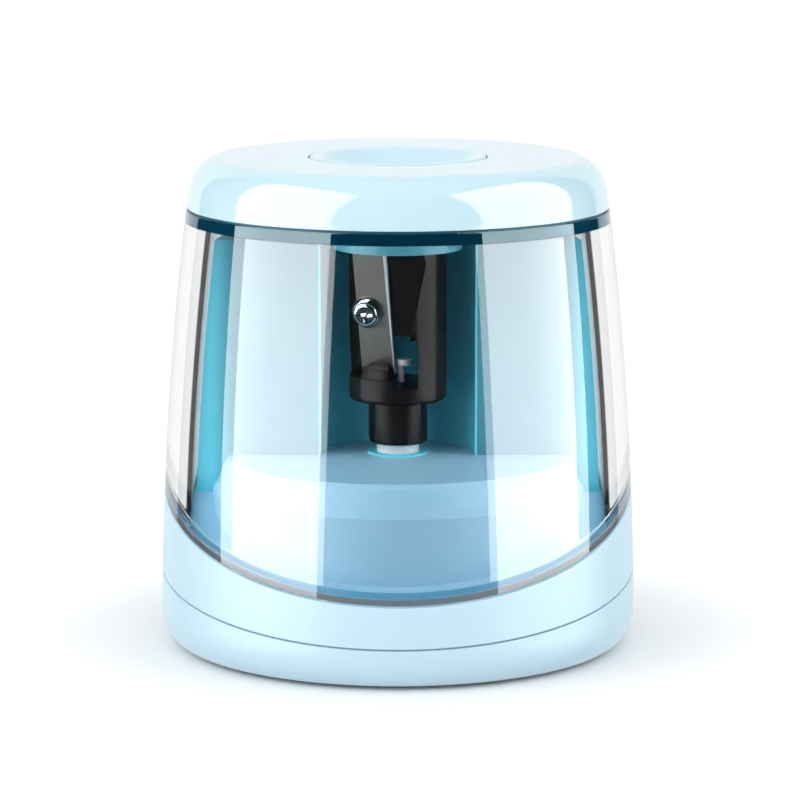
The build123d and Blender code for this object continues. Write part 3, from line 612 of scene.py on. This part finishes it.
# ---- surfaces --------------------------------------------------------------------------
def soften(stations: np.ndarray, radii: Sequence[float], steps: int = 5) -> np.ndarray:
    """Rounds the corners of closed outlines.

    Each corner with a radius becomes a quadratic curve that leaves its two sides at that
    distance, or at 45% of a shorter side: (1-t)^2 a + 2t(1-t) p + t^2 b.

    Args:
        stations: corner points, (corners, outlines, 2).
        radii: one distance per corner; 0 keeps the point.
        steps: spans in each rounded corner.

    Returns:
        Points, (rows, outlines, 2).
    """
    rows: list[np.ndarray] = []
    for number, radius in enumerate(radii):
        point = stations[number]
        if radius <= 0.0:
            rows.append(point[None])
            continue
        ends = []
        for other in (stations[number - 1], stations[(number + 1) % len(radii)]):
            side = other - point
            length = np.linalg.norm(side, axis=-1, keepdims=True)
            ends.append(point + side / length * np.minimum(radius, 0.45 * length))
        t = np.linspace(0.0, 1.0, steps + 1)[:, None, None]
        rows.append((1 - t) ** 2 * ends[0] + 2 * t * (1 - t) * point + t**2 * ends[1])
    return np.concatenate(rows)


def grid_faces(rows: int, columns: int) -> np.ndarray:
    """Quads of a grid whose rows and columns both wrap round.

    Args:
        rows: points along the outline.
        columns: points round the axis.

    Returns:
        Corner numbers, (quads, 4).
    """
    r = np.arange(rows)[:, None]
    c = np.arange(columns)[None, :]
    up, across = (r + 1) % rows, (c + 1) % columns
    quads = (r * columns + c, r * columns + across, up * columns + across, up * columns + c)
    return np.stack(np.broadcast_arrays(*quads), axis=-1).reshape(-1, 4)


def surface(
    name: str, points: np.ndarray, finish: Finish, paint: Paintshop
) -> bpy.types.Object:
    """Puts a wrapped grid of points into a smooth mesh object.

    Args:
        name: the piece's name.
        points: (rows, columns, 3), in metres; both wrap round.
        finish: the piece's finish.
        paint: the paintshop.

    Returns:
        The linked object, at the origin.
    """
    rows, columns, _ = points.shape
    mesh = bpy.data.meshes.new(name)
    faces = grid_faces(rows, columns)
    mesh.from_pydata(points.reshape(-1, 3).tolist(), [], faces.tolist())
    body = bmesh.new()
    body.from_mesh(mesh)
    bmesh.ops.remove_doubles(body, verts=body.verts, dist=1e-7)
    bmesh.ops.recalc_face_normals(body, faces=body.faces)
    body.to_mesh(mesh)
    body.free()
    mesh.polygons.foreach_set("use_smooth", np.ones(len(mesh.polygons), bool))
    mesh.set_sharp_from_angle(angle=math.radians(40.0))
    piece = bpy.data.objects.new(name, mesh)
    bpy.context.scene.collection.objects.link(piece)
    mesh.materials.append(paint.get(finish))
    weighted = piece.modifiers.new("even_normals", "WEIGHTED_NORMAL")
    weighted.keep_sharp = True
    log.info("made %s, %d faces", name, len(mesh.polygons))
    return piece


def turned(profile: np.ndarray, columns: int) -> np.ndarray:
    """Carries (radius, height) outlines round Z.

    A point is (r cos a, r sin a, z) at angle a; each column may have its own outline.

    Args:
        profile: (rows, columns or 1, 2).
        columns: how many angles.

    Returns:
        Points, (rows, columns, 3).
    """
    angle = 2 * np.pi * np.arange(columns) / columns
    r, z = np.broadcast_arrays(profile[..., 0], profile[..., 1])
    r = np.broadcast_to(r, (len(profile), columns))
    z = np.broadcast_to(z, (len(profile), columns))
    return np.stack([r * np.cos(angle), r * np.sin(angle), z], axis=-1)


@dataclass
class SideCurve:
    """The barrel-shaped side of base and bin, from the lower corner to the lid edge."""

    widest: float = 46.1 * MM
    narrowest: float = 40.7 * MM
    low: float = 7.4 * MM
    high: float = 85.3 * MM
    straight: float = 0.148

    def radius(self, z: np.ndarray) -> np.ndarray:
        """Outer radius at a height: a straight taper plus a square term.

        Args:
            z: heights, in metres.

        Returns:
            The radii, in metres.
        """
        t = (z - self.low) / (self.high - self.low)
        taper = self.widest - self.narrowest
        return self.widest - taper * t * (self.straight + (1 - self.straight) * t)


def outline(*corners: tuple[float, float, float]) -> tuple[np.ndarray, list[float]]:
    """Splits (radius, height, rounding) corners, in millimetres, for soften().

    Args:
        corners: the closed outline's corners.

    Returns:
        The points, (corners, 1, 2), in metres, and the roundings.
    """
    table = np.array(corners) * MM
    return table[:, None, :2], list(table[:, 2])


# ---- cover -----------------------------------------------------------------------------
@dataclass
class Cover:
    """Everything that lifts off: bin, lid, guide and collar."""

    paint: Paintshop
    side: SideCurve
    columns: int = 256
    guide_columns: int = 192
    wall_rows: int = 40
    wall: float = 5.2 * MM
    lap: float = 2.5 * MM
    rim: float = RIM_HEIGHT
    spigot: float = 31.3 * MM
    slope: float = RIM_SLOPE
    bin_top: float = 84.95 * MM
    bin_soft: float = 0.3 * MM
    step_soft: float = 0.2 * MM
    top_soft: float = 0.1 * MM
    skirt_low: float = SKIRT_LOW
    skirt_high: float = 85.27 * MM
    skirt_in: float = 33.5 * MM
    skirt_gap: float = 0.05 * MM
    skirt_soft: float = 0.25 * MM
    lip: float = 0.5 * MM
    shoulder_at: tuple[float, float] = (34.4, 86.0)
    shoulder_size: tuple[float, float] = (6.1, 8.8)

    def sloped(self, base: float, inset: float) -> np.ndarray:
        """Where the side curve, moved in by inset, meets a sloping plane.

        The height is base + slope * r * sin(a), found by substituting r a few times.

        Args:
            base: the plane's height on the axis.
            inset: how far inside the side curve.

        Returns:
            (columns, 2) radius and height.
        """
        angle = 2 * np.pi * np.arange(self.columns) / self.columns
        z = np.full(self.columns, base)
        for _ in range(5):
            z = base + self.slope * (self.side.radius(z) - inset) * np.sin(angle)
        return np.stack([self.side.radius(z) - inset, z], axis=-1)

    def wall_run(self, low: np.ndarray, high: float, inset: float) -> np.ndarray:
        """Points up the side curve from a sloping edge to a level one.

        Args:
            low: (columns, 2) lower edge.
            high: upper height.
            inset: how far inside the side curve.

        Returns:
            (wall_rows, columns, 2), rising.
        """
        t = np.linspace(0.0, 1.0, self.wall_rows)[:, None]
        z = low[None, :, 1] * (1 - t) + high * t
        return np.stack([self.side.radius(z) - inset, z], axis=-1)

    def bin(self) -> bpy.types.Object:
        """Clear bin: a thick wall whose foot and spigot follow the sloping rim."""
        outer_foot = self.sloped(self.rim, 0.0)
        lap_foot = self.sloped(self.rim, self.lap)
        spigot_out = self.sloped(self.spigot, self.lap)
        spigot_in = self.sloped(self.spigot, self.wall)
        outer = self.wall_run(outer_foot, self.bin_top, 0.0)[::-1]
        inner = self.wall_run(spigot_in, self.skirt_low, self.wall)
        level = np.ones(self.columns)
        lip = self.side.radius(np.array([self.skirt_low, self.bin_top])) - self.lip
        step = [
            np.stack([r * level, z * level], axis=-1)
            for r, z in zip(lip, (self.skirt_low, self.bin_top))
        ]
        stations = np.concatenate(
            [outer, lap_foot[None], spigot_out[None], inner, np.stack(step)]
        )
        soft, smooth = self.bin_soft, [0.0] * (self.wall_rows - 2)
        radii = [soft, *smooth, soft, self.step_soft, soft, soft, *smooth]
        radii += [soft, self.step_soft, self.top_soft]
        points = turned(soften(stations, radii), self.columns)
        piece = surface("clear_bin", points, Finish.CLEAR, self.paint)
        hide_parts("shavings_bin")
        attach(piece, "cover")
        return piece

    def lid(self) -> bpy.types.Object:
        """Lid: a flat top, an elliptical shoulder and a plug inside the bin."""
        turn = np.linspace(0.0, np.pi / 2, 24)
        around = np.stack([np.cos(turn), np.sin(turn)], -1)
        shoulder = np.array(self.shoulder_at) + np.array(self.shoulder_size) * around
        lower, lower_r = outline(
            (40.7, 85.3, 0.25),
            (33.5, 85.3, 0.2),
            (33.5, 90.9, 0.8),
            (32.0, 92.4, 0.8),
            (17.05, 92.4, 0.0),
            (17.05, 93.8, 0.0),
            (17.3, 93.8, 0.0),
            (17.3, 94.8, 0.25),
            (22.0, 94.8, 0.0),
            (30.0, 94.8, 0.0),
        )
        stations = np.concatenate([lower, shoulder[::-1, None] * MM])
        radii = lower_r + [0.0] * len(turn)
        points = turned(soften(stations, radii), self.columns)
        piece = surface("glossy_lid", points, Finish.LID, self.paint)
        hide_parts("lid_cap")
        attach(piece, "cover")
        return piece

    def skirt(self) -> bpy.types.Object:
        """Skirt under the lid: a ring that sits in the step at the top of the bin.

        Its dark teal is painted shade under the lid.
        """
        gap = self.skirt_gap
        z = np.array([self.skirt_low + gap, self.skirt_high])
        wide = self.side.radius(z) - self.lip - gap
        corners = [
            [(wide[1], z[1])],
            [(wide[0], z[0])],
            [(self.skirt_in, z[0])],
            [(self.skirt_in, z[1])],
        ]
        radii = [self.skirt_soft] * len(corners)
        points = turned(soften(np.array(corners), radii), self.columns)
        piece = surface("lid_skirt", points, Finish.SHADED_SKIRT, self.paint)
        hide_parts("lid_cap")
        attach(piece, "cover")
        return piece

    def guide(self) -> bpy.types.Object:
        """Dished guide: a rounded ring that falls to the pencil hole."""
        stations, radii = outline(
            (16.95, 95.0, 1.3),
            (14.9, 95.0, 1.0),
            (12.0, 92.9, 1.2),
            (7.0, 88.9, 2.0),
            (4.2, 88.0, 0.5),
            (4.2, 83.0, 0.3),
            (6.2, 83.0, 0.3),
            (6.2, 86.8, 0.4),
            (14.65, 91.0, 0.4),
            (17.05, 91.6, 0.3),
            (17.0, 93.9, 0.0),
        )
        points = turned(soften(stations, radii, 8), self.guide_columns)
        piece = surface("dished_guide", points, Finish.LID, self.paint)
        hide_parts("pencil_guide")
        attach(piece, "cover")
        return piece

    def build(self) -> None:
        """Makes and dresses the cover."""
        self.bin()
        self.lid()
        self.skirt()
        self.guide()
        # the collar's darker colour is painted shade
        self.paint.dress(Finish.SHADED_COLLAR, "guide_collar")


# ---- base ------------------------------------------------------------------------------
@dataclass
class Base:
    """Housing, tower, tray, door and what shuts them."""

    paint: Paintshop

    def build(self) -> None:
        """Dresses the base."""
        self.paint.dress(Finish.PLATFORM, "base_housing")
        self.paint.dress(Finish.HOUSING, "bottom_tray", "battery_door")
        self.paint.dress(Finish.TOWER, "tower_shell")
        self.paint.dress(Finish.INNER, "drive_bush")
        self.paint.dress(Finish.RUBBER, "rubber_feet")
        self.paint.dress(Finish.PLATED, "tray_screws", "gearbox_screws", "motor_screws")
        self.paint.dress(Finish.STEEL, "door_hinge_pin")


# ---- cutter ----------------------------------------------------------------------------
@dataclass
class CutterHead:
    """Spindle, holder, blade, screw and tip pin."""

    paint: Paintshop

    def build(self) -> None:
        """Dresses the cutter."""
        self.paint.dress(Finish.BLACK, "cutter_holder", "cutter_hub")
        self.paint.dress(Finish.BLADE, "cutter_blade")
        self.paint.dress(Finish.PLATED, "blade_screw")
        self.paint.dress(Finish.WHITE, "drive_spindle", "tip_pin")
        self.paint.dress(Finish.SPRING, "tip_pin_spring", "spindle_clip")


# ---- drive and electrics ---------------------------------------------------------------
@dataclass
class DriveTrain:
    """Motor and gears."""

    paint: Paintshop

    def build(self) -> None:
        """Dresses the drive."""
        self.paint.dress(Finish.STEEL, "motor_can", "motor_shaft", "idler_pin")
        self.paint.dress(Finish.BLACK, "motor_cap", "gearbox_base", "gearbox_plate")
        self.paint.dress(Finish.BRASS, "motor_terminals", "motor_pinion")
        self.paint.dress(Finish.WHITE, "idler_gear", "output_gear")


@dataclass
class Electrics:
    """Cells, contacts, switches and board."""

    paint: Paintshop

    def build(self) -> None:
        """Dresses the electrics."""
        self.paint.dress(Finish.CELL, "battery_cells")
        self.paint.dress(Finish.SPRING, "cell_springs", "cell_contacts", "door_contacts")
        self.paint.dress(Finish.SPRING, "start_spring")
        self.paint.dress(Finish.BLACK, "contact_carrier", "start_switch", "interlock_switch")
        self.paint.dress(Finish.BLACK, "board_components")
        self.paint.dress(Finish.WHITE, "start_plunger", "interlock_plunger")
        self.paint.dress(Finish.BOARD, "circuit_board")


# ---- studio ----------------------------------------------------------------------------
class Sees(Enum):
    """Which rays an area lamp answers."""

    SHADING_ONLY = (True, False)
    REFLECTION_ONLY = (False, True)


@dataclass
class Studio:
    """Pale floor, soft boxes at both sides, a white back and the camera."""

    floor_half: float = 6.0
    back_white: float = 1.0
    top_white: float = 0.9
    front_dark: float = 0.012
    # strength of the floor's painted glow
    floor_glow: float = 0.2
    glow_ring: tuple[float, float] = (0.046, 0.085)
    aim_height: float = 0.055
    sensor: float = 36.0
    lens: float = 169.36
    camera_at: tuple[float, float, float] = (0.39 * MM, -720.69 * MM, 172.21 * MM)
    camera_down: float = 9.84

    def floor(self) -> None:
        """A flat pale sheet that shows in no reflection, with painted light: it glows more
        away from the object.
        """
        mesh = bpy.data.meshes.new("floor")
        h = self.floor_half
        corners = [(-h, -h, 0.0), (h, -h, 0.0), (h, h, 0.0), (-h, h, 0.0)]
        mesh.from_pydata(corners, [], [(0, 1, 2, 3)])
        sheet = bpy.data.objects.new("floor", mesh)
        bpy.context.scene.collection.objects.link(sheet)
        graph, material = Graph.of_material("floor_white")
        mark = graph.noise(0.05, 2.0)
        x, y, _ = graph.axes()
        away = ((x * x + y * y) ** 0.5).over(*self.glow_ring)
        graph.end(
            graph.node(
                "ShaderNodeBsdfPrincipled",
                {},
                {
                    "Base Color": graph.blend(mark, (0.90, 0.90, 0.90), (0.89, 0.89, 0.89)),
                    "Roughness": 0.9,
                    "Specular IOR Level": 0.1,
                    # painted light: the floor glows, more strongly away from the object
                    "Emission Color": graph.blend(away, (0.0, 0.0, 0.0), (1.0, 1.0, 1.0)),
                    "Emission Strength": self.floor_glow,
                },
            )
        )
        mesh.materials.append(material)
        sheet.visible_glossy = False
        sheet.visible_transmission = False

    def world(self) -> None:
        """White behind the object and above it, dark in front and at the sides."""
        world = bpy.data.worlds.new("studio")
        bpy.context.scene.world = world
        world.use_nodes = True
        world.cycles_visibility.diffuse = False
        graph = Graph(world.node_tree)
        way = graph.node("ShaderNodeTexCoord").outputs["Generated"]
        split = graph.node("ShaderNodeSeparateXYZ", {}, {0: way})
        x, y, z = (Signal(graph, split.outputs[k]) for k in range(3))
        level = (x * x + y * y + 1e-6) ** 0.5
        back = (y / level).over(0.72, 0.745)
        top = z.over(0.55, 0.95)
        strength = self.front_dark + back * (1 - top) * self.back_white + top * self.top_white
        shader = graph.node(
            "ShaderNodeBackground", {}, {"Color": (1.0, 1.0, 1.0, 1.0), "Strength": strength}
        )
        graph.end(shader, world=True)

    def lamp(
        self,
        name: str,
        bearing: float,
        distance: float,
        height: float,
        size: tuple[float, float],
        power: float,
        sees: Sees,
    ) -> None:
        """An area lamp that faces the object.

        Args:
            name: the lamp's name.
            bearing: degrees from the front, positive to the right.
            distance: metres from the axis.
            height: metres above the floor.
            size: width and height in metres.
            power: watts.
            sees: which rays it answers.
        """
        data = bpy.data.lights.new(name, "AREA")
        data.shape = "RECTANGLE"
        data.size, data.size_y = size
        data.energy = power
        lamp = bpy.data.objects.new(name, data)
        bpy.context.scene.collection.objects.link(lamp)
        a = math.radians(bearing)
        spot = Vector((math.sin(a) * distance, -math.cos(a) * distance, height))
        aim = Vector((0.0, 0.0, self.aim_height))
        lamp.location = spot
        lamp.rotation_mode = "QUATERNION"
        lamp.rotation_quaternion = (aim - spot).to_track_quat("-Z", "Y")
        lamp.visible_camera = False
        lamp.visible_diffuse, lamp.visible_glossy = sees.value
        lamp.visible_transmission = sees is not Sees.SHADING_ONLY

    def sky(self, name: str, tilt: float, spread: float, strength: float) -> None:
        """A very soft sun that answers shading only.

        Args:
            name: the lamp's name.
            tilt: degrees from straight above, towards the front.
            spread: angle the light comes from, in degrees.
            strength: irradiance of a surface that faces it.
        """
        data = bpy.data.lights.new(name, "SUN")
        data.energy = strength
        data.angle = math.radians(spread)
        sun = bpy.data.objects.new(name, data)
        bpy.context.scene.collection.objects.link(sun)
        sun.rotation_euler = (math.radians(tilt), 0.0, 0.0)
        sun.visible_camera = sun.visible_glossy = sun.visible_transmission = False

    def camera(self) -> None:
        """The camera: a long lens in front, looking a little down."""
        data = bpy.data.cameras.new("camera")
        data.sensor_width = self.sensor
        data.lens = self.lens
        camera = bpy.data.objects.new("camera", data)
        bpy.context.scene.collection.objects.link(camera)
        camera.location = self.camera_at
        camera.rotation_euler = (math.radians(90.0 - self.camera_down), 0.0, 0.0)
        bpy.context.scene.camera = camera

    def build(self) -> None:
        """Sets up the studio."""
        self.floor()
        self.world()
        left, right, near, far = -65.0, 75.0, 0.50, 0.80
        cards, boxes = Sees.REFLECTION_ONLY, Sees.SHADING_ONLY
        self.lamp("card_left", left, near, 0.20, (0.60, 0.9), 10.4, cards)
        self.lamp("card_right", right, near, 0.20, (0.62, 0.9), 10.2, cards)
        self.sky("soft_above", tilt=0.0, spread=150.0, strength=2.35)
        self.sky("soft_front", tilt=60.0, spread=120.0, strength=0.75)
        self.lamp("soft_left", left, far, 0.30, (0.7, 0.9), 3.2, boxes)
        self.lamp("soft_right", right, far, 0.30, (0.7, 0.9), 2.2, boxes)
        self.camera()
        bpy.context.scene.view_settings.view_transform = "Standard"


def main() -> None:
    """Builds every part of the scene."""
    paint = Paintshop()
    side = SideCurve()
    assemblies: list[Callable[[], None]] = [
        Cover(paint, side).build,
        Base(paint).build,
        CutterHead(paint).build,
        DriveTrain(paint).build,
        Electrics(paint).build,
        Studio().build,
    ]
    for build in assemblies:
        build()


if __name__ == "__main__":
    main()
